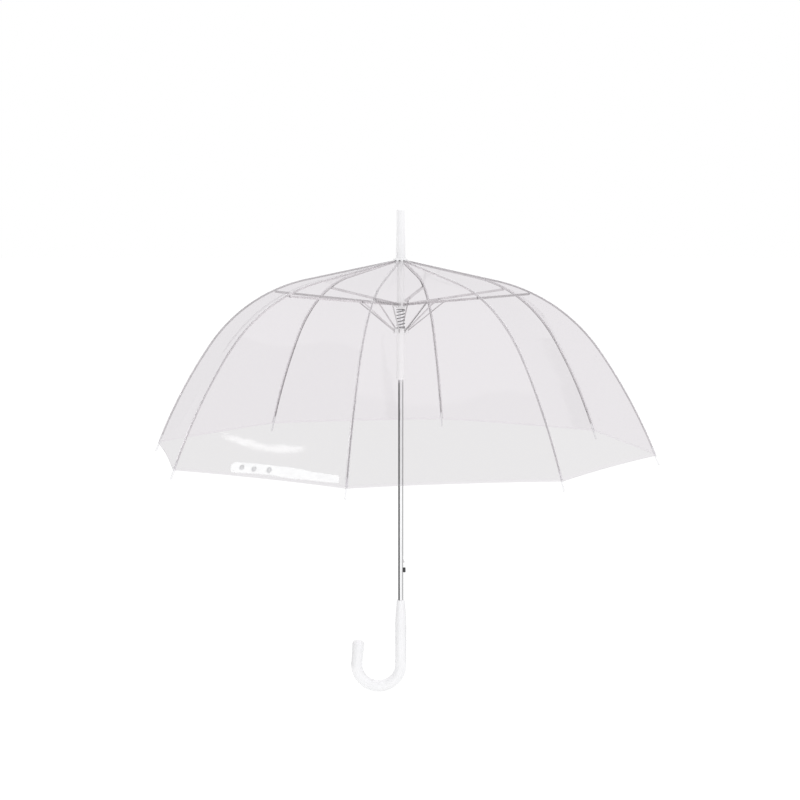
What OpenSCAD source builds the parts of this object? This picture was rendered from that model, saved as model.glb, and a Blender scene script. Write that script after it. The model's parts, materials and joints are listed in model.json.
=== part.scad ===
// Clear dome stick umbrella, eight ribs, spring-opened, with a crook handle.
// Origin: middle of the straight grip, on the shaft axis. +Z runs up the shaft to the ferrule.
// The crook opens towards -X and the latch is on +X. All sizes are in millimetres.

/* [Canopy frame] */
// height of the rib hinge plane above the grip origin
zn = 757; // [650:1:800]
// slope of the rib where it leaves the crown, degrees below level
rib_slope = 12; // [5:0.5:25]
// straight length of the rib from its hinge
rib_l1 = 182; // [120:1:260]
// length of the tighter curve of the rib
rib_l2 = 243; // [150:1:320]
// how far the tighter curve turns, degrees
rib_t2 = 42.7; // [20:0.1:60]
// length of the slack curve down to the hem
rib_l3 = 226; // [150:1:320]
// how far the slack curve turns, degrees
rib_t3 = 12.9; // [4:0.1:30]
// width and height of the rib channel
rib_w = 2.9; // [2:0.1:4]
// place along the rib of the bend between its upper and lower run
s_bend = 262; // [255:1:300]
// place along the rib of the stretcher rivet
s_joint = 250; // [230:1:254]
// drop of the stretcher rivet below the middle of the rib
joint_drop = 3.6; // [3:0.1:5]

/* [Stretchers and struts] */
// width of the stretcher channel
arm_w = 4.7; // [4:0.1:6]
// height of the stretcher channel
arm_h = 4.2; // [3:0.1:6]
// distance along the stretcher from its collar pivot to the strut rivet
arm_k = 75; // [50:1:110]
// width of the strut blade
strut_w = 2.2; // [1.5:0.1:3]
// height of the strut blade
strut_h = 2.2; // [1.5:0.1:3]

/* [Shaft] */
// radius of the shaft tube
shaft_r = 5.2; // [4:0.1:8]
// wall of the shaft tube
shaft_t = 0.7; // [0.5:0.1:1.5]
// radius of the runner's sleeve
sleeve_r = 8; // [7:0.1:10]
// radius of the coil spring's outside
spring_r = 8.8; // [7:0.1:10]
// number of coils in the spring
spring_turns = 6; // [4:1:10]

/* [Ferrule and cap] */
// radius of the ferrule's tip
ferrule_r = 8; // [5:0.1:10]
// height of the ferrule's end above the rib hinge plane
ferrule_top = 101; // [60:1:130]
// radius of the crown cap
cap_r = 15; // [12:0.5:20]

/* [Crook handle] */
// radius of the handle's rod
grip_r = 11.2; // [9:0.1:14]
// radius of the crook's bend, on the middle of the rod
crook_r = 43.7; // [35:0.5:60]
// lean of the crook's free leg, degrees
crook_lean = 5; // [0:0.5:15]
// length of the crook's free leg
crook_leg = 35.8; // [20:1:80]

/* [Canopy] */
// thickness of the clear film
film_t = 0.4; // [0.2:0.1:0.8]
// place along the rib where the film is hemmed
s_hem = 651; // [600:1:700]
// height of the film above the middle of the rib
film_gap = 2.2; // [2.2:0.1:4]

/* [Hidden] */
ribs = 8;
phase = -100.7;
step = 360 / ribs;
ox = 9;
oz = 1;
r2 = rib_l2 / (rib_t2 * PI / 180);
r3 = rib_l3 / (rib_t3 * PI / 180);
a1 = rib_slope;
a2 = rib_slope + rib_t2;
a3 = a2 + rib_t3;
p1x = ox + rib_l1 * cos(a1);
p1z = oz - rib_l1 * sin(a1);
c2x = p1x - r2 * sin(a1);
c2z = p1z - r2 * cos(a1);
p2x = c2x + r2 * sin(a2);
p2z = c2z + r2 * cos(a2);
c3x = p2x - r3 * sin(a2);
c3z = p2z - r3 * cos(a2);
// slope of the rib, degrees below level, at length s from its hinge
function slope(s) = s < rib_l1 ? a1 : s < rib_l1 + rib_l2 ? a1 + (s - rib_l1) / r2 * 180 / PI
  : a2 + min(s - rib_l1 - rib_l2, rib_l3) / r3 * 180 / PI;
function mid_x(s) = s < rib_l1 ? ox + s * cos(a1) : s < rib_l1 + rib_l2 ? c2x + r2 * sin(slope(s))
  : c3x + r3 * sin(slope(s)) + max(0, s - s_hem) * cos(a3);
function mid_z(s) = s < rib_l1 ? oz - s * sin(a1) : s < rib_l1 + rib_l2 ? c2z + r2 * cos(slope(s))
  : c3z + r3 * cos(slope(s)) - max(0, s - s_hem) * sin(a3);
// point at length s, moved out from the middle of the rib by d
function off_x(s, d) = mid_x(s) + d * sin(slope(s));
function off_z(s, d) = mid_z(s) + d * cos(slope(s));
jx = off_x(s_joint, -joint_drop);
jz = off_z(s_joint, -joint_drop);
// collar pivot and runner pivot
sx = 11;
sz = -83.5;
bx = 13.6;
bz = -135;
arm_l = sqrt((jx - sx) * (jx - sx) + (jz - sz) * (jz - sz));
arm_a = atan2(jz - sz, jx - sx);
k_drop = 0.8;
kx = sx + arm_k * cos(arm_a) + k_drop * sin(arm_a);
kz = sz + arm_k * sin(arm_a) - k_drop * cos(arm_a);
strut_l = sqrt((kx - bx) * (kx - bx) + (kz - bz) * (kz - bz));
strut_a = atan2(kz - bz, kx - bx);
arm_t = 0.6;
sleeve_end = -230;
handle_top = -669.5;
crook_z = -800.4;
$fn = 48;

// turns a child drawn in the XZ plane to the place of rib k, and lifts it to the hinge plane
module spoke(k) {
  translate([0, 0, zn]) rotate([0, 0, phase + step * (k - 1)]) children();
}

module pin_y(x, z, r, y0, y1) {
  translate([x, y1, z]) rotate([90, 0, 0]) cylinder(r = r, h = y1 - y0);
}

// folded sheet channel, open downwards, from x = 0 to x = l
module channel(l, w, h, t) {
  rotate([90, 0, 90]) linear_extrude(l)
    polygon([[-w / 2, -h / 2], [-w / 2, h / 2], [w / 2, h / 2], [w / 2, -h / 2],
      [w / 2 - t, -h / 2], [w / 2 - t, h / 2 - t], [t - w / 2, h / 2 - t], [t - w / 2, -h / 2]]);
}

// the same channel bent along an arc about (cx, cz), between two slopes
module channel_arc(cx, cz, r, s0, s1, w, t) {
  translate([cx, 0, cz]) rotate([90, 0, 0]) rotate([0, 0, 90 - s1])
    rotate_extrude(angle = s1 - s0, $fn = 360)
      polygon([[r - w / 2, -w / 2], [r + w / 2, -w / 2], [r + w / 2, w / 2], [r - w / 2, w / 2],
        [r - w / 2, w / 2 - t], [r + w / 2 - t, w / 2 - t], [r + w / 2 - t, t - w / 2],
        [r - w / 2, t - w / 2]]);
}

module rib_upper(k) {
  color([0.16, 0.16, 0.17]) spoke(k) {
    difference() {
      union() {
        // flattened eye on the crown wire
        pin_y(ox, oz, 2, -1, 1);
        translate([ox, 0, oz]) rotate([0, a1, 0]) translate([0, -1, -1.2]) cube([8, 2, 2.4]);
        translate([ox, 0, oz]) rotate([0, a1, 0]) translate([4.5, 0, 0])
          channel(rib_l1 - 4.5, rib_w, rib_w, 0.6);
        channel_arc(c2x, c2z, r2, a1, slope(s_bend - 0.08), rib_w, 0.6);
        // clip that carries the stretcher rivet
        pin_y(jx, jz, 2, -1, 1);
        translate([jx, 0, jz]) rotate([0, slope(s_joint), 0]) translate([-2, -1, 0]) cube([4, 2, 4.2]);
        pin_y(jx, jz, 0.9, -3, 3);
        pin_y(jx, jz, 1.6, -3.2, -2.6);
        pin_y(jx, jz, 1.6, 2.6, 3.2);
      }
      pin_y(ox, oz, 0.8, -2, 2);
    }
  }
}

module rib_lower(k) {
  color([0.16, 0.16, 0.17]) spoke(k) {
    channel_arc(c2x, c2z, r2, slope(s_bend + 0.08), a2, rib_w, 0.6);
    // the lower run is a lighter channel that nests in the upper one
    channel_arc(c3x, c3z, r3, a2 - 0.06, slope(s_hem - 3), rib_w - 0.3, 0.4);
  }
  // moulded tip that holds the corner of the hem
  color([0.93, 0.93, 0.93]) spoke(k)
    translate([mid_x(s_hem - 2.5), 0, mid_z(s_hem - 2.5)]) rotate([0, 90 + slope(s_hem), 0])
      rotate_extrude() polygon([[0, 0], [1.8, 0], [1.8, 12], [1.6, 17], [2, 18.5], [2, 20], [1.2, 21.5], [0, 21.5]]);
}

// two side plates of a channel, from x = 0 to x = l
module plates(l) {
  for (side = [0, 1]) mirror([0, side, 0])
    translate([0, arm_w / 2 - arm_t, -arm_h / 2]) cube([l, arm_t, arm_h]);
}

module round_plates(x, r) {
  pin_y(x, 0, r, arm_w / 2 - arm_t, arm_w / 2);
  pin_y(x, 0, r, -arm_w / 2, arm_t - arm_w / 2);
}

module stretcher_inner(k) {
  color([0.17, 0.17, 0.18]) spoke(k) translate([sx, 0, sz]) rotate([0, -arm_a, 0]) {
    difference() {
      union() {
        plates(6);
        round_plates(0, arm_h / 2);
        translate([5, 0, 0]) channel(arm_k + 3.2 - 5, arm_w, arm_h, arm_t);
      }
      pin_y(0, 0, 1, -4, 4);
    }
    // strut rivet
    pin_y(arm_k, -k_drop, 0.9, -2.5, 2.5);
    pin_y(arm_k, -k_drop, 1.5, -2.9, -2.3);
    pin_y(arm_k, -k_drop, 1.5, 2.3, 2.9);
  }
}

module stretcher_outer(k) {
  color([0.17, 0.17, 0.18]) spoke(k) translate([sx, 0, sz]) rotate([0, -arm_a, 0])
    difference() {
      union() {
        translate([arm_k + 5, 0, 0]) channel(arm_l - arm_k - 10, arm_w, arm_h, arm_t);
        translate([arm_l - 6, 0, 0]) plates(6);
        round_plates(arm_l, arm_h / 2);
      }
      pin_y(arm_l, 0, 1.05, -4, 4);
    }
}

module strut(k) {
  color([0.18, 0.18, 0.19]) spoke(k) translate([bx, 0, bz]) rotate([0, -strut_a, 0])
    difference() {
      union() {
        translate([0, -strut_w / 2, -strut_h / 2]) cube([strut_l, strut_w, strut_h]);
        pin_y(0, 0, 2, -strut_w / 2, strut_w / 2);
        pin_y(strut_l, 0, 1.9, -strut_w / 2, strut_w / 2);
      }
      // open hook over the runner's wire
      pin_y(0, 0, 0.95, -2, 2);
      translate([-4, -2, -0.1]) cube([4.2, 4, 4]);
      pin_y(strut_l, 0, 1, -2, 2);
    }
}

module shaft() {
  color([0.75, 0.76, 0.78]) translate([0, 0, zn]) difference() {
    translate([0, 0, -709]) cylinder(r = shaft_r, h = 729);
    translate([0, 0, -710]) cylinder(r = shaft_r - shaft_t, h = 731);
    // window of the catch
    translate([0, -1.8, -599]) cube([9, 3.6, 17]);
    // window of the button
    translate([0, -3.3, -615]) cube([9, 6.6, 12]);
  }
}

module handle() {
  color([0.95, 0.95, 0.95]) translate([0, 0, zn]) difference() {
    union() {
      rotate_extrude() polygon([[0, handle_top], [7.5, handle_top], [7.9, handle_top - 0.6],
        [8.5, -676], [9.4, -688], [10.4, -700], [10.9, -708], [grip_r, -716],
        [grip_r, crook_z - 1.5], [0, crook_z - 1.5]]);
      translate([-crook_r, 0, crook_z]) rotate([90, 0, 0]) rotate([0, 0, -180 - crook_lean])
        rotate_extrude(angle = 180 + crook_lean) translate([crook_r, 0]) circle(r = grip_r + 0.1);
      // free leg with its rounded end
      translate([-crook_r, 0, crook_z]) rotate([0, crook_lean, 0]) translate([-crook_r, 0, 0])
        rotate_extrude() polygon([[0, -1.5], [grip_r, -1.5], [grip_r, crook_leg - 12],
          [grip_r + 0.8, crook_leg - 8], [grip_r + 0.8, crook_leg + 3], [grip_r - 0.4, crook_leg + 6.5],
          [grip_r - 3.4, crook_leg + 8.6], [grip_r - 7, crook_leg + 9.6], [0, crook_leg + 10]]);
    }
    translate([0, 0, -711]) cylinder(r = shaft_r + 0.02, h = 60);
  }
}

module ferrule() {
  color([0.95, 0.95, 0.95]) translate([0, 0, zn]) difference() {
    rotate_extrude() polygon([[0, 6.5], [9.4, 6.5], [9.4, 12], [ferrule_r + 0.4, 50], [ferrule_r, 70],
      [ferrule_r, ferrule_top - 3.5], [ferrule_r - 0.7, ferrule_top - 1.4],
      [ferrule_r - 2.6, ferrule_top - 0.3], [0, ferrule_top]]);
    translate([0, 0, 5]) cylinder(r = shaft_r + 0.02, h = 17);
  }
}

module crown_cap() {
  color([0.95, 0.95, 0.95]) translate([0, 0, zn]) difference() {
    rotate_extrude() polygon([[0, 3.1], [12.6, 3.1], [12.6, 2.6], [cap_r, 2.6], [cap_r, 4.4],
      [cap_r - 1, 5.6], [cap_r - 4, 6.4], [0, 6.4]]);
    cylinder(r = shaft_r + 0.02, h = 10);
  }
}

module wire_ring(r, z, w) {
  translate([0, 0, z]) rotate_extrude() translate([r, 0]) circle(r = w);
}

// radial slots cut for the ends of the ribs, stretchers or struts
module slots(r, z, w, h) {
  for (k = [1 : ribs]) rotate([0, 0, phase + step * (k - 1)])
    translate([r, -w / 2, z]) cube([20, w, h]);
}

module top_notch() {
  color([0.93, 0.93, 0.93]) translate([0, 0, zn]) {
    difference() {
      union() {
        translate([0, 0, -4]) cylinder(r = 12.2, h = 7);
        // spacer tube that stops the collar
        translate([0, 0, -79.2]) cylinder(r = 7.2, h = 76);
      }
      translate([0, 0, -80]) cylinder(r = shaft_r + 0.02, h = 90);
      slots(6.8, -10, 3.6, 20);
    }
    wire_ring(ox, oz, 0.5);
  }
}

module collar() {
  color([0.9, 0.9, 0.9]) translate([0, 0, zn]) {
    difference() {
      union() {
        translate([0, 0, -92]) cylinder(r = 8.6, h = 12.6);
        translate([0, 0, -88]) cylinder(r = 12.6, h = 8.6);
      }
      translate([0, 0, -95]) cylinder(r = shaft_r + 0.08, h = 20);
      slots(8.6, -95, 5.6, 20);
    }
    wire_ring(sx, sz, 0.6);
  }
}

module runner() {
  color([0.93, 0.93, 0.93]) translate([0, 0, zn]) {
    difference() {
      union() {
        translate([0, 0, -139.5]) cylinder(r = 15.2, h = 9);
        translate([0, 0, sleeve_end]) cylinder(r = sleeve_r, h = 95);
        translate([0, 0, sleeve_end]) cylinder(r = sleeve_r + 0.8, h = 4);
      }
      translate([0, 0, sleeve_end - 1]) cylinder(r = shaft_r + 0.08, h = 110);
      slots(10.6, -150, 3.4, 30);
      // window that the catch drops into when the umbrella is shut
      translate([0, -2.2, sleeve_end + 4.8]) cube([12, 4.4, 13.4]);
    }
    wire_ring(bx, bz, 0.6);
  }
}

module latch_spring() {
  color([0.3, 0.3, 0.32]) translate([0, 1.4, zn]) rotate([90, 0, 0]) linear_extrude(2.8)
    polygon([[1.4, -661], [2.2, -661], [3.3, -603], [3.5, -594.5], [7.6, -594.5], [7.6, -592.5],
      [4.3, -585.5], [3.4, -583], [2.6, -583], [2.5, -603]]);
}

module push_button() {
  color([0.12, 0.12, 0.13]) translate([3.55, 0, zn - 609]) rotate([0, 90, 0]) {
    linear_extrude(5.7) hull() {
      translate([-2.4, 0]) circle(r = 2.6, $fn = 32);
      translate([2.4, 0]) circle(r = 2.6, $fn = 32);
    }
    linear_extrude(6.2) hull() {
      translate([-2.4, 0]) circle(r = 2.1, $fn = 32);
      translate([2.4, 0]) circle(r = 2.1, $fn = 32);
    }
  }
}

// coil spring: a ring of points carried up a helix
module main_spring() {
  n = 18 * spring_turns;
  m = 8;
  w = 0.7;
  z0 = -130.2;
  z1 = -93.7;
  rr = spring_r - w;
  pts = [for (i = [0 : n], j = [0 : m - 1]) let (a = 360 * spring_turns * i / n, b = 360 * j / m)
    [(rr + w * cos(b)) * cos(a), (rr + w * cos(b)) * sin(a), z0 + (z1 - z0) * i / n + w * sin(b)]];
  sides = [for (i = [0 : n - 1], j = [0 : m - 1]) let (p = i * m + j, q = i * m + (j + 1) % m)
    each [[p, p + m, q], [q, p + m, q + m]]];
  caps = [[for (j = [0 : m - 1]) j], [for (j = [m - 1 : -1 : 0]) n * m + j]];
  color([0.6, 0.6, 0.62]) translate([0, 0, zn + 0.7]) polyhedron(points = pts, faces = concat(sides, caps));
}

// a thin skin between an outer and an inner grid of points, n by m cells
module skin(outer, inner, n, m) {
  c = (n + 1) * (m + 1);
  top = [for (i = [0 : n - 1], j = [0 : m - 1]) let (p = i * (m + 1) + j, q = p + m + 1)
    each [[p, p + 1, q], [p + 1, q + 1, q]]];
  under = [for (f = top) [c + f[2], c + f[1], c + f[0]]];
  e0 = [for (j = [0 : m - 1]) each [[j, c + j, j + 1], [j + 1, c + j, c + j + 1]]];
  e1 = [for (j = [0 : m - 1]) let (p = n * (m + 1) + j) each [[p, p + 1, c + p], [p + 1, c + p + 1, c + p]]];
  e2 = [for (i = [0 : n - 1]) let (p = i * (m + 1), q = p + m + 1) each [[p, q, c + p], [q, c + q, c + p]]];
  e3 = [for (i = [0 : n - 1]) let (p = i * (m + 1) + m, q = p + m + 1) each [[p, c + p, q], [q, c + p, c + q]]];
  polyhedron(points = concat(outer, inner), faces = concat(top, under, e0, e1, e2, e3));
}

// point on the film between rib k and rib k + 1: s along the ribs, u from 0 to 1 across, d off the rib
function film(s, u, d) = let (a = -step / 2, w = tan(step / 2) * off_x(s, d) * cos(step / 2))
  [off_x(s, d) * cos(step / 2), w * (2 * u - 1), off_z(s, d)];
function hem_s(u) = s_hem - 6 * (1 - (2 * u - 1) * (2 * u - 1));

module gore(k) {
  translate([0, 0, zn]) rotate([0, 0, phase + step * (k - 0.5)]) children();
}

module canopy_panel(k) {
  n = 26;
  m = 4;
  s0 = 7.2;
  function grid(d) = [for (i = [0 : n], j = [0 : m]) let (u = 0.001 + 0.998 * j / m,
    s = s0 + (hem_s(u) - s0) * i / n) film(s, u, d)];
  color([0.92, 0.93, 0.94, 0.35]) gore(k) skin(grid(film_gap + film_t), grid(film_gap), n, m);
}

module tie_strap() {
  n = 1;
  m = 10;
  function grid(d) = [for (i = [0 : n], j = [0 : m]) let (u = 0.36 + 0.6 * j / m,
    s = hem_s(u) - 26 + 22 * i / n) film(s, u, d)];
  color([0.95, 0.95, 0.96, 0.6]) gore(8) skin(grid(3.8), grid(3.1), n, m);
}

module strap_snaps() {
  color([0.94, 0.94, 0.94]) gore(8)
    for (u = [0.4, 0.47, 0.56]) {
      p = film(hem_s(u) - 15, u, 4);
      translate(p) rotate([0, slope(s_hem), 0]) cylinder(r = 5.5, h = 1.8);
    }
}

shaft();
handle();
ferrule();
crown_cap();
top_notch();
latch_spring();
push_button();
collar();
runner();
main_spring();
tie_strap();
strap_snaps();
rib_upper(1);  // rib_upper_1
rib_upper(2);  // rib_upper_2
rib_upper(3);  // rib_upper_3
rib_upper(4);  // rib_upper_4
rib_upper(5);  // rib_upper_5
rib_upper(6);  // rib_upper_6
rib_upper(7);  // rib_upper_7
rib_upper(8);  // rib_upper_8
rib_lower(1);  // rib_lower_1
rib_lower(2);  // rib_lower_2
rib_lower(3);  // rib_lower_3
rib_lower(4);  // rib_lower_4
rib_lower(5);  // rib_lower_5
rib_lower(6);  // rib_lower_6
rib_lower(7);  // rib_lower_7
rib_lower(8);  // rib_lower_8
stretcher_inner(1);  // stretcher_inner_1
stretcher_inner(2);  // stretcher_inner_2
stretcher_inner(3);  // stretcher_inner_3
stretcher_inner(4);  // stretcher_inner_4
stretcher_inner(5);  // stretcher_inner_5
stretcher_inner(6);  // stretcher_inner_6
stretcher_inner(7);  // stretcher_inner_7
stretcher_inner(8);  // stretcher_inner_8
stretcher_outer(1);  // stretcher_outer_1
stretcher_outer(2);  // stretcher_outer_2
stretcher_outer(3);  // stretcher_outer_3
stretcher_outer(4);  // stretcher_outer_4
stretcher_outer(5);  // stretcher_outer_5
stretcher_outer(6);  // stretcher_outer_6
stretcher_outer(7);  // stretcher_outer_7
stretcher_outer(8);  // stretcher_outer_8
strut(1);  // strut_1
strut(2);  // strut_2
strut(3);  // strut_3
strut(4);  // strut_4
strut(5);  // strut_5
strut(6);  // strut_6
strut(7);  // strut_7
strut(8);  // strut_8
canopy_panel(1);  // canopy_panel_1
canopy_panel(2);  // canopy_panel_2
canopy_panel(3);  // canopy_panel_3
canopy_panel(4);  // canopy_panel_4
canopy_panel(5);  // canopy_panel_5
canopy_panel(6);  // canopy_panel_6
canopy_panel(7);  // canopy_panel_7
canopy_panel(8);  // canopy_panel_8
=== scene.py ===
"""Finished looks of the clear dome umbrella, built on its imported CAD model.

All sizes are in metres in the model's frame: +Z runs up the shaft, and the crook opens towards -X.
The film, its hem, the lower ribs, the tips, the coil spring and the tie strap are built here;
the other parts are the CAD model's own, with finished materials.
"""
import json
import math

import bpy
import numpy as np
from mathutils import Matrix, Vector


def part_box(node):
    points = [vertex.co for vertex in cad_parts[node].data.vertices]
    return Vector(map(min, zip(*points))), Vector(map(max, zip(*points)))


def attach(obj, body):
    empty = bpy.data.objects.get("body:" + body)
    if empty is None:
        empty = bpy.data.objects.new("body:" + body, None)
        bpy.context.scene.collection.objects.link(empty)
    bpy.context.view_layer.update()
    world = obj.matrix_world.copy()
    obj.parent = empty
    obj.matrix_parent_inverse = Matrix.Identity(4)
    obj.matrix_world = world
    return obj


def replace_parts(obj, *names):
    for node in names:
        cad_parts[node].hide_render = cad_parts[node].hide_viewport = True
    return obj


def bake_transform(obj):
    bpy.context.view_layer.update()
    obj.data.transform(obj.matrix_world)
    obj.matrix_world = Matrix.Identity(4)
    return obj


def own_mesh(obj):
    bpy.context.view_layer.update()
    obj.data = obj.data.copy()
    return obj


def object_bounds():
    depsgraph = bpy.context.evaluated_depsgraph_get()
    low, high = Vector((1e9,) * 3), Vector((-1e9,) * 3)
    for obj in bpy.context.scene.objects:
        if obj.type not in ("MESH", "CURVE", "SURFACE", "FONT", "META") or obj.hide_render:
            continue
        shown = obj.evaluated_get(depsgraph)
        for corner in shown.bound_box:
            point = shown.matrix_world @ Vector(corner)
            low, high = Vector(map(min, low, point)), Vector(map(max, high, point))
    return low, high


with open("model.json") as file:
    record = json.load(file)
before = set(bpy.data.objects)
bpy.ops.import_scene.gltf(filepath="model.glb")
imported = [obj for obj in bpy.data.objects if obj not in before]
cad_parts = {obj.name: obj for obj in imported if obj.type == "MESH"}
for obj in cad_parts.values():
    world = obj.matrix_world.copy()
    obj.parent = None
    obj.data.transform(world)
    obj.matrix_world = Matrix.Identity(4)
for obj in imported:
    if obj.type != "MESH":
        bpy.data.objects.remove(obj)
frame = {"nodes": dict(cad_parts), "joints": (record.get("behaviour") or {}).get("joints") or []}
cad_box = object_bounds()
joint = {j["name"]: j for j in frame["joints"]}

# the rib, as in the CAD: each run's length and how far it turns downwards. S_ lengths run along it
RIBS = 8
STEP = 2 * math.pi / RIBS
RIB_SLOPE = math.radians(12)
RIB_RUNS = ((0.182, 0.0), (0.243, math.radians(42.7)), (0.226, math.radians(12.9)))
RIB_W = 0.0029
RIB_T = 0.0006
NEST_W = RIB_W - 0.0003
NEST_T = 0.0004
S_BEND = 0.262
S_NEST = RIB_RUNS[0][0] + RIB_RUNS[1][0]
S_HEM = 0.655
BEND_SPREAD = 0.036
HINGE_R = math.hypot(*joint["rib_hinge_1"]["pos_m"][:2])
HINGE_Z = joint["rib_hinge_1"]["pos_m"][2]
RIB_ANGLE = {k: math.atan2(*joint[f"rib_hinge_{k}"]["pos_m"][1::-1]) for k in range(1, RIBS + 1)}

# the clear film
FILM_RISE = 0.0021
FILM_TOP = 0.0075
HEM_DIP = 0.0025
HEM_WIDTH = 0.006
FOLD_DEPTHS = (0, 0.0001, 0.0004, 0.0006)
FILM_SAG = 0.006
SAG_FROM = 0.03
SAG_PAST_HEM = 0.05
FILM_CUTS = (FILM_TOP, S_BEND, 0.425, 0.545, S_HEM)
FILM_ROW = 0.012
FILM_COLUMNS = 13
SEAM_FROM = 0.012
SEAM_RISE = FILM_RISE + 0.0002
SEAM_HALF = 0.0034
SEAM_THICK = 0.0002

# the white tips: how far the hem's corner sits up each, and their outline from the socket to the bead
TIP_SOCKET = 0.019
TIP = ((0.0003, 0.0), (0.0017, 0.0), (0.0019, 0.0002), (0.0019, 0.0268), (0.0018, 0.0285),
       (0.0016, 0.0325), (0.0017, 0.0335), (0.002, 0.0345), (0.0021, 0.0353), (0.002, 0.0361),
       (0.0015, 0.0371), (0.0008, 0.0375))

# the coil spring
SPRING_WIRE = 0.0007
SPRING_TURNS = 7

# the tie strap, on the gore between the last rib and the first: shares across it, and sizes
STRAP_FROM = 0.04
STRAP_TO = 0.665
STRAP_W = 0.019
STRAP_INSET = 0.015
STRAP_THICK = 0.0006
STRAP_LIFT = 0.0014
SNAPS_AT = (0.44, 0.53, 0.60)
SNAP_LIFT = 0.0004
SNAP_CAP = ((0.0003, -0.0012), (0.0050, -0.0012), (0.0054, -0.0009), (0.0054, 0.0002), (0.0050, 0.0006),
            (0.0041, 0.0007), (0.0038, 0.0004), (0.0033, 0.0004), (0.0030, 0.0010), (0.0022, 0.0014),
            (0.0012, 0.0015), (0.0003, 0.0015))

# the camera: place, how far it looks down in degrees, and lens in millimetres
CAMERA_AT = (-0.0013, -3.4126, 0.8607)
CAMERA_DIP = 6.2627
CAMERA_LENS = 78.9


# ---------------------------------------------------------------- geometry of the ribs and film

def rib_line(s):
    """Radius, height and downward slope of a rib's middle, at lengths s from its hinge."""
    left = np.array(s, float)
    x = np.full_like(left, HINGE_R)
    z = np.full_like(left, HINGE_Z)
    slope = np.full_like(left, RIB_SLOPE)
    for length, turn in RIB_RUNS:
        part = np.clip(left, 0, length)
        bend = turn * part / length
        chord = part * np.sinc(bend / 2 / np.pi)
        x += chord * np.cos(slope + bend / 2)
        z -= chord * np.sin(slope + bend / 2)
        slope += bend
        left = left - part
    return x + left * np.cos(slope), z - left * np.sin(slope), slope


def turned(angle, x, y, z):
    """Points given in a rib's own upright plane, in the model's frame."""
    c, s = math.cos(angle), math.sin(angle)
    return np.stack([x * c - y * s, x * s + y * c, np.broadcast_to(z, np.shape(x))], axis=-1)


def on_rib(angle, s, rise=0.0):
    """Points along a rib's middle, or raised from it on its outer side."""
    x, z, slope = rib_line(s)
    return turned(angle, x + rise * np.sin(slope), np.zeros_like(x), z + rise * np.cos(slope))


def hem_at(across):
    """Length along the ribs where the hem runs, for shares across the gore."""
    return S_HEM - HEM_DIP * (1 - (2 * across - 1) ** 2)


def on_film(angle, side, across, s, rise=FILM_RISE):
    """Points of the gore beside a rib: side is 1 or -1, across runs from 0 at the rib to 1 at the next.
    The tight film dips a little between its ribs."""
    here = on_rib(angle, s, rise)
    there = on_rib(angle + side * STEP, s, rise)
    _, _, slope = rib_line(s)
    middle = angle + side * STEP / 2
    out = turned(middle, np.sin(slope), np.zeros_like(slope), np.cos(slope))
    along = np.clip((s - SAG_FROM) / (S_HEM + SAG_PAST_HEM - SAG_FROM), 0, 1)
    dip = FILM_SAG * np.sin(np.pi * across) ** 2 * np.sin(np.pi * along)
    return here + across[..., None] * (there - here) - dip[..., None] * out


# ---------------------------------------------------------------- mesh helpers

def mesh_piece(name, points, faces, materials, face_material=None):
    """A smooth mesh object from its points and faces; face_material picks a material for each face."""
    mesh = bpy.data.meshes.new(name)
    mesh.from_pydata([tuple(p) for p in np.reshape(points, (-1, 3))], [], faces)
    for m in materials:
        mesh.materials.append(m)
    for i, p in enumerate(mesh.polygons):
        p.use_smooth = True
        if face_material is not None:
            p.material_index = face_material[i]
    mesh.update()
    obj = bpy.data.objects.new(name, mesh)
    bpy.context.scene.collection.objects.link(obj)
    return obj


def grid_faces(rows, cols, flip=False, closed=False):
    """Faces of a grid of rows by cols points; closed joins its last column to its first."""
    faces = []
    for i in range(rows - 1):
        for j in range(cols if closed else cols - 1):
            a, b = i * cols + j, i * cols + (j + 1) % cols
            quad = (a, b, b + cols, a + cols)
            faces.append(quad[::-1] if flip else quad)
    return faces


def solidify(obj, thickness, offset=1.0):
    shell = obj.modifiers.new("thickness", "SOLIDIFY")
    shell.thickness = thickness
    shell.offset = offset
    return obj


def tube(name, path, radius, material, sides=12):
    """A round wire along a path, closed at both ends."""
    path = np.array(path, float)
    ahead = np.gradient(path, axis=0)
    ahead /= np.linalg.norm(ahead, axis=1)[:, None]
    up = np.array([0, 0, 1.0])
    across = np.cross(ahead, up)
    across /= np.linalg.norm(across, axis=1)[:, None]
    over = np.cross(across, ahead)
    turn = np.linspace(0, 2 * np.pi, sides, endpoint=False)
    ring = (np.cos(turn)[None, :, None] * across[:, None] + np.sin(turn)[None, :, None] * over[:, None])
    points = path[:, None] + radius * ring
    faces = grid_faces(len(path), sides, closed=True)
    last = (len(path) - 1) * sides
    faces.append(tuple(range(sides)))
    faces.append(tuple(range(last + sides - 1, last - 1, -1)))
    return mesh_piece(name, points, faces, [material])


def lathe(name, profile, material, place, sides=32):
    """A turned part: profile is (radius, height) pairs from its start to its end, place a 4x4 matrix."""
    profile = np.array(profile, float)
    turn = np.linspace(0, 2 * np.pi, sides, endpoint=False)
    r, h = profile[:, :1], profile[:, 1:]
    points = np.stack([r * np.cos(turn), r * np.sin(turn), np.repeat(h, sides, 1)], axis=-1)
    faces = grid_faces(len(profile), sides, closed=True)
    last = (len(profile) - 1) * sides
    faces.append(tuple(range(sides - 1, -1, -1)))
    faces.append(tuple(range(last, last + sides)))
    points = points.reshape(-1, 3) @ place[:3, :3].T + place[:3, 3]
    return mesh_piece(name, points, faces, [material])


def standing_on(point, up):
    """Placement matrix with +Z along up at a point."""
    m = Vector(up).to_track_quat("Z", "Y").to_matrix().to_4x4()
    m.translation = Vector(point)
    return np.array(m)


# ---------------------------------------------------------------- materials

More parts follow.
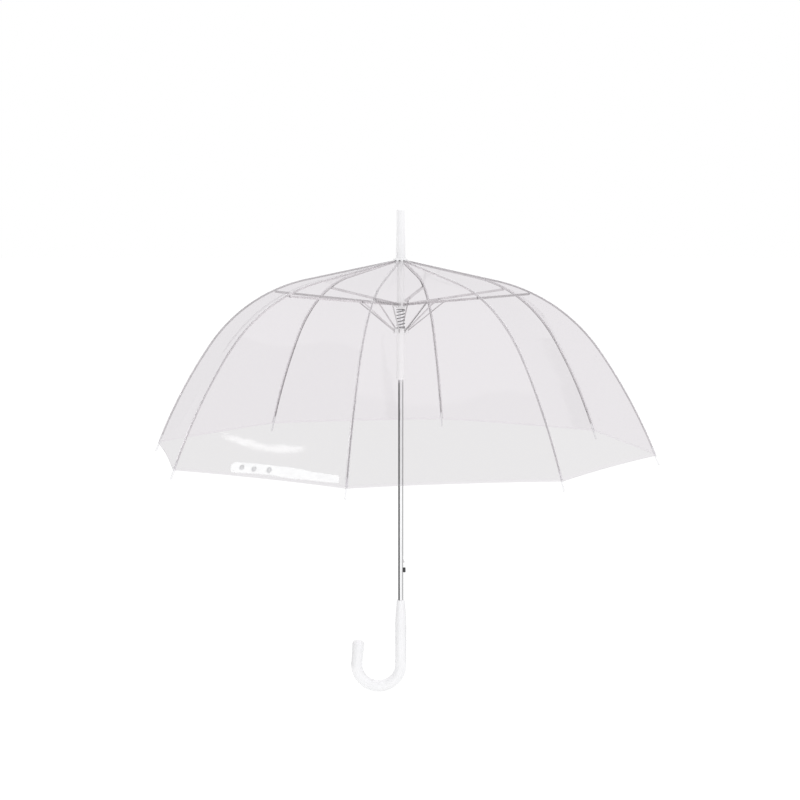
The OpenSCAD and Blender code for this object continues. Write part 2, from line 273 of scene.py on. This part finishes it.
def new_material(name):
    """An empty node material: the material, its tree and its output node."""
    m = bpy.data.materials.new(name)
    m.use_nodes = True
    m.node_tree.nodes.clear()
    out = m.node_tree.nodes.new("ShaderNodeOutputMaterial")
    return m, m.node_tree, out


def node(tree, kind, **inputs):
    """A new node with values set on its named sockets."""
    n = tree.nodes.new(kind)
    for name, value in inputs.items():
        n.inputs[name.replace("_", " ")].default_value = value
    return n


def noise_of(tree, scale, detail=3.0, stretch=(1, 1, 1)):
    """Noise in the model's own coordinates, stretched along an axis if wanted."""
    place = tree.nodes.new("ShaderNodeTexCoord")
    mapping = tree.nodes.new("ShaderNodeMapping")
    mapping.inputs["Scale"].default_value = stretch
    texture = node(tree, "ShaderNodeTexNoise", Scale=scale, Detail=detail)
    tree.links.new(place.outputs["Object"], mapping.inputs["Vector"])
    tree.links.new(mapping.outputs["Vector"], texture.inputs["Vector"])
    return texture.outputs["Fac"]


def ranged(tree, value, low, high):
    """A value from 0 to 1, spread from low to high."""
    spread = tree.nodes.new("ShaderNodeMapRange")
    spread.inputs["To Min"].default_value = low
    spread.inputs["To Max"].default_value = high
    tree.links.new(value, spread.inputs["Value"])
    return spread.outputs["Result"]


def shade(tree, value, dark, light):
    """A colour between two, by a value from 0 to 1."""
    ramp = tree.nodes.new("ShaderNodeValToRGB")
    ramp.color_ramp.elements[0].position = 0.3
    ramp.color_ramp.elements[1].position = 0.7
    ramp.color_ramp.elements[0].color = (*dark, 1)
    ramp.color_ramp.elements[1].color = (*light, 1)
    tree.links.new(value, ramp.inputs["Fac"])
    return ramp.outputs["Color"]


def bump(tree, height, strength, distance):
    b = node(tree, "ShaderNodeBump", Strength=strength, Distance=distance)
    tree.links.new(height, b.inputs["Height"])
    return b.outputs["Normal"]


def solid_material(name, dark, light, rough, metallic=0.0, grain=60, stretch=(1, 1, 1), relief=0.00004,
                   coat=0.0):
    """A solid finish with a fine grain in its colour, roughness and relief."""
    m, tree, out = new_material(name)
    shader = node(tree, "ShaderNodeBsdfPrincipled", Metallic=metallic)
    shader.inputs["Coat Weight"].default_value = coat
    shader.inputs["Coat Roughness"].default_value = 0.06
    slow = noise_of(tree, grain / 6, 2.0)
    fine = noise_of(tree, grain, 4.0, stretch)
    tree.links.new(shade(tree, slow, dark, light), shader.inputs["Base Color"])
    tree.links.new(ranged(tree, fine, *rough), shader.inputs["Roughness"])
    tree.links.new(bump(tree, fine, 0.25, relief), shader.inputs["Normal"])
    tree.links.new(shader.outputs["BSDF"], out.inputs["Surface"])
    return m


def mixed(tree, kind, amount, first, second):
    """A mix of two colours or two shaders by a share from 0 to 1."""
    if kind == "SHADER":
        mix = tree.nodes.new("ShaderNodeMixShader")
        tree.links.new(first, mix.inputs[1])
        tree.links.new(second, mix.inputs[2])
        tree.links.new(amount, mix.inputs["Fac"])
        return mix.outputs["Shader"]
    mix = tree.nodes.new("ShaderNodeMix")
    mix.data_type = "RGBA"
    for socket, colour in ((mix.inputs["A"], first), (mix.inputs["B"], second)):
        if isinstance(colour, tuple):
            socket.default_value = (*colour, 1)
        else:
            tree.links.new(colour, socket)
    tree.links.new(amount, mix.inputs["Factor"])
    return mix.outputs["Result"]


def power(tree, value, exponent):
    raised = tree.nodes.new("ShaderNodeMath")
    raised.operation = "POWER"
    raised.inputs[1].default_value = exponent
    tree.links.new(value, raised.inputs[0])
    return raised.outputs[0]


def clear_material(name, tint, edge_tint, inner_tint, haze, haze_colour, inner_haze=0.1, gloss=0.05,
                   wave=8, relief=0.002):
    """Thin clear vinyl: light passes with a tint, deeper where it crosses at a slant, and the surface
    mirrors a little. Its outer side carries the haze; the inner side is clearer."""
    m, tree, out = new_material(name)
    edge = node(tree, "ShaderNodeLayerWeight", Blend=0.5)
    slant = power(tree, edge.outputs["Facing"], 3.0)
    inside = tree.nodes.new("ShaderNodeNewGeometry").outputs["Backfacing"]
    clear = tree.nodes.new("ShaderNodeBsdfTransparent")
    outer = mixed(tree, "RGBA", slant, tint, edge_tint)
    tree.links.new(mixed(tree, "RGBA", inside, outer, inner_tint), clear.inputs["Color"])
    mirror = node(tree, "ShaderNodeBsdfAnisotropic", Color=(1, 1, 1, 1))
    grain = noise_of(tree, 40, 4.0)
    tree.links.new(ranged(tree, grain, gloss * 0.7, gloss * 1.6), mirror.inputs["Roughness"])
    tree.links.new(bump(tree, noise_of(tree, wave, 3.0), 0.3, relief), mirror.inputs["Normal"])
    sheen = ranged(tree, power(tree, edge.outputs["Facing"], 5.0), 0.05, 0.3)
    glossy = mixed(tree, "SHADER", sheen, clear.outputs["BSDF"], mirror.outputs["BSDF"])
    milk = node(tree, "ShaderNodeBsdfDiffuse", Color=(*haze_colour, 1))
    cloudy = tree.nodes.new("ShaderNodeMath")
    cloudy.operation = "MULTIPLY"
    tree.links.new(ranged(tree, noise_of(tree, 5, 2.0), *haze), cloudy.inputs[0])
    tree.links.new(ranged(tree, inside, 1.0, inner_haze), cloudy.inputs[1])
    surface = mixed(tree, "SHADER", cloudy.outputs[0], glossy, milk.outputs["BSDF"])
    tree.links.new(surface, out.inputs["Surface"])
    return m


FILM = clear_material("clear vinyl film", (0.788, 0.778, 0.785), (0.69, 0.68, 0.69), (0.99, 0.97, 0.99),
                      (0.02, 0.035), (0.80, 0.79, 0.80))
HEM = clear_material("welded vinyl hem", (0.80, 0.79, 0.80), (0.69, 0.68, 0.69), (0.99, 0.98, 0.99),
                     (0.0, 0.10), (0.90, 0.90, 0.90), gloss=0.1)
SEAM = clear_material("welded vinyl seam", (0.95, 0.945, 0.95), (0.92, 0.92, 0.92), (0.97, 0.96, 0.97),
                      (0.12, 0.2), (0.95, 0.95, 0.96), gloss=0.08)
STRAP = clear_material("white vinyl strap", (0.95, 0.95, 0.95), (0.9, 0.9, 0.9), (0.95, 0.95, 0.95),
                       (0.55, 0.95), (0.98, 0.98, 0.985), inner_haze=1.0, gloss=0.12, wave=40,
                       relief=0.003)
FOLD = clear_material("vinyl turned under", (0.99, 0.97, 0.99), (0.96, 0.95, 0.96), (0.99, 0.98, 0.99),
                      (0.0, 0.01), (0.9, 0.9, 0.9))
WHITE = solid_material("glossy white moulding", (0.80, 0.80, 0.81), (0.84, 0.84, 0.85), (0.16, 0.24),
                       coat=0.3)
NYLON = solid_material("white nylon moulding", (0.94, 0.94, 0.94), (0.97, 0.97, 0.97), (0.45, 0.6))
CHROME = solid_material("drawn chrome tube", (0.86, 0.86, 0.87), (0.90, 0.90, 0.91), (0.08, 0.16), 1.0,
                        grain=400, stretch=(1, 1, 0.04), relief=0.00001)
STEEL = solid_material("plated spring steel", (0.62, 0.60, 0.61), (0.74, 0.72, 0.73), (0.2, 0.34), 1.0,
                       grain=150)
WIRE = solid_material("coil wire", (0.16, 0.16, 0.165), (0.24, 0.24, 0.245), (0.2, 0.32), 1.0,
                      grain=300)
SNAP = solid_material("pressed snap", (0.60, 0.60, 0.61), (0.70, 0.70, 0.71), (0.2, 0.35), grain=200)
DARK = solid_material("dark nylon button", (0.035, 0.035, 0.038), (0.06, 0.06, 0.062), (0.35, 0.5))


# ---------------------------------------------------------------- the canopy

def collapse(piece, k, s0, s1):
    """Gives the piece a mesh of its own. The piece's ends on its rib are worked out here but not used.
    """
    angle = RIB_ANGLE[k]
    ends = on_rib(angle, np.array([s0, s1]), FILM_RISE)
    x, z, _ = rib_line(np.array([s0, s1]))
    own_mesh(piece)


def film_piece(k, side, part):
    """Half a gore beside rib k, over one part of its length, with its widest width and its length.
    The last part carries the folded hem."""
    angle = RIB_ANGLE[k]
    s0, s1 = FILM_CUTS[part], FILM_CUTS[part + 1]
    rows = max(8, round((s1 - s0) / FILM_ROW))
    across = np.linspace(0, 0.5, FILM_COLUMNS)
    share = np.linspace(0, 1, rows)[:, None]
    last = part == len(FILM_CUTS) - 2
    end = hem_at(across)[None] - HEM_WIDTH if last else np.full((1, len(across)), s1)
    s = s0 + share * (end - s0)
    rise = np.full_like(s, FILM_RISE)
    kinds = [0] * (rows - 1)
    if last:
        edge = hem_at(across)
        s = np.vstack([s, edge - HEM_WIDTH / 2, edge, edge - 0.0002, edge - HEM_WIDTH])
        rise = np.vstack([rise] + [np.full_like(across, FILM_RISE - depth) for depth in FOLD_DEPTHS])
        kinds += [1, 1, 2, 2]
    wide = np.broadcast_to(across, s.shape)
    points = on_film(angle, side, wide, s, rise)
    faces = grid_faces(len(s), len(across), flip=side > 0)
    kinds = [kind for kind in kinds for _ in range(len(across) - 1)]
    name = f"film_{k}_{'left' if side < 0 else 'right'}_{part + 1}"
    piece = mesh_piece(name, points, faces, [FILM, HEM, FOLD], kinds)
    collapse(piece, k, s0, s1)
    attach(piece, f"rib_upper_{k}" if part == 0 else f"rib_lower_{k}")
    return piece, float(np.linalg.norm(points[rows - 1, -1] - points[rows - 1, 0])), s1 - s0


def seam(name, k, s0, s1):
    """The narrow welded band over a rib, bent down on both sides as the film is."""
    s = np.linspace(s0, s1, round((s1 - s0) / 0.006))[:, None]
    y = SEAM_HALF * np.array([[-1, -0.55, -0.2, 0, 0.2, 0.55, 1]])
    x, z, slope = rib_line(s)
    fall = np.abs(y) * math.tan(STEP / 2)
    points = turned(RIB_ANGLE[k], x + SEAM_RISE * np.sin(slope) - fall, y + 0 * x,
                    z + SEAM_RISE * np.cos(slope) + 0 * y)
    band = solidify(mesh_piece(name, points, grid_faces(len(s), y.size, flip=True), [SEAM]), SEAM_THICK)
    return band


def bend_over_rib(piece, k):
    """Bakes the piece's placement into its mesh. The ends of the rib's bend are worked out here but not
    used.
    """
    start, end = on_rib(RIB_ANGLE[k], np.array([S_BEND, S_BEND + BEND_SPREAD]))
    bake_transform(piece)


def canopy():
    """Eight gores of clear film, in half gores beside their ribs, with a welded seam over each rib."""
    for k in RIB_ANGLE:
        pieces = []
        for side in (-1, 1):
            for part in range(len(FILM_CUTS) - 1):
                pieces.append(film_piece(k, side, part))
        top = seam(f"seam_{k}_top", k, SEAM_FROM, S_BEND - 0.004)
        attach(top, f"rib_upper_{k}")
        low = seam(f"seam_{k}_low", k, S_BEND, S_HEM - 0.003)
        bend_over_rib(low, k)
        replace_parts(pieces[0][0], f"canopy_panel_{k}")


# ---------------------------------------------------------------- lower ribs and their tips

def rib_profile(w, t):
    """Outline of the folded channel, open downwards, as (sideways, outwards) pairs."""
    h, c = w / 2, 0.00035
    return np.array([(-h, -h), (-h, h - c), (-h + c, h), (h - c, h), (h, h - c), (h, -h),
                     (h - t, -h), (h - t, h - t - c), (h - t - c, h - t),
                     (t + c - h, h - t), (t - h, h - t - c), (t - h, -h)])


def lower_rib(k):
    """The springy lower run, lighter below where it nests in the upper channel."""
    in_tip = S_HEM - TIP_SOCKET + 0.004
    s = np.concatenate([np.linspace(S_BEND, S_NEST, 40), [S_NEST + 0.0005],
                        np.linspace(S_NEST + 0.008, in_tip, 40)])
    points = []
    for at in s:
        outline = rib_profile(NEST_W, NEST_T) if at > S_NEST else rib_profile(RIB_W, RIB_T)
        x, z, slope = (float(v) for v in rib_line(at))
        points.append(turned(RIB_ANGLE[k], x + outline[:, 1] * math.sin(slope), outline[:, 0],
                             z + outline[:, 1] * math.cos(slope)))
    count = len(outline)
    faces = grid_faces(len(s), count, closed=True)
    last = (len(s) - 1) * count
    faces.append(tuple(range(count - 1, -1, -1)))
    faces.append(tuple(range(last, last + count)))
    rib = mesh_piece(f"lower_rib_{k}", np.array(points), faces, [STEEL])
    for p in rib.data.polygons:
        p.use_smooth = False
    bend_over_rib(rib, k)
    return rib


def rib_tip(k):
    """The white moulded tip that takes the corner of the hem."""
    s = S_HEM - TIP_SOCKET
    slope = float(rib_line(s)[2]) + math.radians(0.6)
    ahead = turned(RIB_ANGLE[k], math.cos(slope), 0.0, -math.sin(slope))
    tip = lathe(f"rib_tip_{k}", TIP, WHITE, standing_on(on_rib(RIB_ANGLE[k], s), ahead), 24)
    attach(tip, f"rib_lower_{k}")


def ribs():
    for k in RIB_ANGLE:
        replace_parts(lower_rib(k), f"rib_lower_{k}")
        rib_tip(k)


# ---------------------------------------------------------------- spring and strap

def coil_spring():
    """The opening spring: its end turns lie flat, and the others are spread evenly."""
    low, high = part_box("main_spring")
    height = high.z - low.z
    radius = (high.x - low.x) / 2 - SPRING_WIRE
    share = np.linspace(0, 1, SPRING_TURNS * 36)
    lift = np.interp(share * SPRING_TURNS, [0, 0.9, SPRING_TURNS - 0.9, SPRING_TURNS],
                     [0, 0.05, 0.95, 1])
    angle = 2 * np.pi * SPRING_TURNS * share
    z = low.z + SPRING_WIRE + (height - 2 * SPRING_WIRE) * lift
    path = np.stack([radius * np.cos(angle), radius * np.sin(angle), z], axis=-1)
    spring = tube("coil_spring", path, SPRING_WIRE, WIRE, 10)
    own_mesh(spring)
    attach(spring, "runner")
    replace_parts(spring, "main_spring")


def strap_point(across, down, rise=0.0):
    """Points of the tie strap: across from rib 1 towards the last rib, down from its middle line."""
    wave = 0.0007 * np.sin(across * 31 + down * 160) + 0.0005 * np.sin(across * 67 - down * 240 + 1)
    droop = 0.0012 * np.sin(across * 9 + 0.5)
    s = hem_at(across) - STRAP_INSET + down + droop
    return on_film(RIB_ANGLE[1], -1, across, s, FILM_RISE + STRAP_LIFT + wave + rise)


def tie_strap():
    """A soft vinyl strap welded beside the first rib, lying along the hem, with three snaps."""
    across = np.linspace(STRAP_FROM, STRAP_TO, 61)[:, None]
    span = np.linspace(-1, 1, 9)[None]
    reach = np.clip((STRAP_TO - across) / 0.022, 0, 1)
    half = STRAP_W / 2 * np.sqrt(1 - (1 - reach) ** 2 * 0.93)
    half *= np.clip(0.55 + across * 1.8, 0, 1) * (1 + 0.06 * np.sin(across * 23))
    points = strap_point(across + 0 * span, half * span)
    faces = grid_faces(*points.shape[:2], flip=True)
    strap = solidify(mesh_piece("tie_strap_vinyl", points, faces, [STRAP]), STRAP_THICK, 0)
    pieces = [strap]
    slope = float(rib_line(S_HEM - STRAP_INSET)[2])
    up = turned(RIB_ANGLE[1] - STEP / 2, math.sin(slope), 0.0, math.cos(slope))
    for i, at in enumerate(SNAPS_AT):
        here = strap_point(np.array([at]), np.array([0.0]), SNAP_LIFT)[0]
        pieces.append(lathe(f"strap_snap_{i + 1}", SNAP_CAP, SNAP, standing_on(here, up), 36))
    for piece in pieces:
        collapse(piece, 1, FILM_CUTS[-2], S_HEM)
        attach(piece, "rib_lower_1")
    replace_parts(strap, "tie_strap")
    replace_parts(pieces[1], "strap_snaps")


# ---------------------------------------------------------------- finishes of the CAD parts

FINISHES = {
    "shaft": CHROME, "handle": WHITE, "ferrule": WHITE, "crown_cap": WHITE, "top_notch": NYLON,
    "collar": NYLON, "runner": NYLON, "latch_spring": STEEL, "push_button": DARK,
    "rib_upper": STEEL, "stretcher_inner": STEEL, "stretcher_outer": STEEL, "strut": STEEL,
}


def finish_cad_parts():
    """The CAD's own solids that stay get their finished materials."""
    for name, obj in frame["nodes"].items():
        kind = name.rsplit("_", 1)[0] if name[-1].isdigit() else name
        if kind in FINISHES:
            obj.data.materials.clear()
            obj.data.materials.append(FINISHES[kind])


# ---------------------------------------------------------------- studio

def glow(name, grey, strength=1.0):
    """A plain studio surface that gives off a set brightness."""
    m, tree, out = new_material(name)
    light = node(tree, "ShaderNodeEmission", Color=(grey, grey, grey, 1), Strength=strength)
    tree.links.new(light.outputs["Emission"], out.inputs["Surface"])
    return m


def card(name, centre, size, facing, material):
    """A flat rectangle of studio gear, square to the direction it faces."""
    w, h = size[0] / 2, size[1] / 2
    place = standing_on(centre, facing)
    points = np.array([(-w, -h, 0), (w, -h, 0), (w, h, 0), (-w, h, 0)]) @ place[:3, :3].T + place[:3, 3]
    obj = mesh_piece(name, points, [(0, 1, 2, 3)], [material])
    return obj


def round_flag(name, radius, start, end, low, high, material):
    """An upright curved flag round the object, between two bearings."""
    turn = np.radians(np.linspace(start, end, 24))
    ring = np.stack([radius * np.cos(turn), radius * np.sin(turn)], axis=-1)
    points = np.array([[(x, y, z) for x, y in ring] for z in (low, high)])
    obj = mesh_piece(name, points, grid_faces(2, len(ring)), [material])
    return obj


def studio_floor(base):
    """A pale floor that glows evenly. From below it is clear, so that it never hides the umbrella."""
    floor_material, tree, out = new_material("white studio floor")
    shader = node(tree, "ShaderNodeBsdfPrincipled", Base_Color=(0.12, 0.12, 0.12, 1), Roughness=1.0)
    shader.inputs["Specular IOR Level"].default_value = 0
    shader.inputs["Emission Color"].default_value = (1, 1, 1, 1)
    shader.inputs["Emission Strength"].default_value = 0.93
    below = tree.nodes.new("ShaderNodeNewGeometry").outputs["Backfacing"]
    see_through = tree.nodes.new("ShaderNodeBsdfTransparent").outputs["BSDF"]
    surface = mixed(tree, "SHADER", below, shader.outputs["BSDF"], see_through)
    tree.links.new(surface, out.inputs["Surface"])
    card("floor", (0, 0, base), (60, 60), (0, 0, 1), floor_material)


# flat cards and small lamps that only reflections see: place, size, facing, grey and strength
CARDS = {
    "room_front": ((0, -4.8, 2.9), (9, 5.4), (0, 1, -0.45), 0.55, 1.0),
    "room_left": ((-3.4, -0.8, 2.3), (5, 3.6), (1, 0.2, -0.45), 0.6, 1.0),
    "gleam": ((-1.58, -0.641, 1.276), (0.024, 0.046), (1, 0.2, -0.6), 1.0, 4.5),
    "rib_gleam": ((-1.61, 0.5, 0.845), (0.26, 0.24), (0.82, -0.5, -0.26), 1.0, 5.0),
    "arm_gleam": ((1.39, -0.75, 0.56), (0.3, 0.16), (-0.9, 0.42, 0), 1.0, 2.5),
    "far_right": ((1.5, -1.0, 0.42), (0.3, 0.42), (-1, 0.45, 0), 1.0, 1.5),
}
# curved flags round the shaft: radius, bearings from and to, top, grey and strength
FLAGS = {
    "flag_left": (0.25, -130, -215, 0.5, 0.015, 1.0),
    "flag_right": (0.25, 40, 62, 0.5, 0.015, 1.0),
    "strip_right": (1.6, -62, -54, 0.62, 1.0, 1.6),
    "grey_right": (0.25, -30, 40, 0.5, 0.55, 1.0),
}
# soft lamps, aimed at the middle of the umbrella: place, size and watts
LAMPS = {
    "softbox_right": ((1.8, -1.9, 1.7), (0.4, 1.0), 8),
    "softbox_left": ((-1.4, -2.4, 0.9), (0.6, 0.6), 9),
    "softbox_top": ((0.3, 0.4, 2.8), (1.2, 1.2), 12),
}
LAMPS_AIM = (0, 0, 0.5)


def studio():
    """A white room with a plain floor, cards that shape the reflections, and three soft lamps."""
    base = cad_box[0].z - 0.0005
    studio_floor(base)
    unseen = [card(name, place, size, facing, glow(name, grey, strength))
              for name, (place, size, facing, grey, strength) in CARDS.items()]
    unseen += [round_flag(name, radius, start, end, base, top, glow(name, grey, strength))
               for name, (radius, start, end, top, grey, strength) in FLAGS.items()]
    for piece in unseen:
        piece.visible_camera = False
        piece.visible_diffuse = piece.name == "room_left"
        piece.visible_shadow = False

    world = bpy.data.worlds.new("white cyclorama")
    world.use_nodes = True
    world.node_tree.nodes["Background"].inputs["Color"].default_value = (1, 1, 1, 1)
    world.node_tree.nodes["Background"].inputs["Strength"].default_value = 1.0
    bpy.context.scene.world = world
    for name, (place, size, watts) in LAMPS.items():
        light = bpy.data.lights.new(name, "AREA")
        light.shape = "RECTANGLE"
        light.size, light.size_y = size
        light.energy = watts
        lamp = bpy.data.objects.new(name, light)
        bpy.context.scene.collection.objects.link(lamp)
        lamp.visible_glossy = False
        lamp.location = place
        aim = Vector(LAMPS_AIM) - Vector(place)
        lamp.rotation_mode = "QUATERNION"
        lamp.rotation_quaternion = aim.to_track_quat("-Z", "Y")


def camera():
    """From the front, level with the top of the ferrule, looking slightly down."""
    data = bpy.data.cameras.new("camera")
    data.sensor_width = 36
    data.lens = CAMERA_LENS
    cam = bpy.data.objects.new("camera", data)
    bpy.context.scene.collection.objects.link(cam)
    cam.location = CAMERA_AT
    cam.rotation_euler = (math.radians(90 - CAMERA_DIP), 0, 0)
    bpy.context.scene.camera = cam


canopy()
ribs()
coil_spring()
tie_strap()
finish_cad_parts()
studio()
camera()
bpy.context.scene.view_settings.view_transform = "Standard"
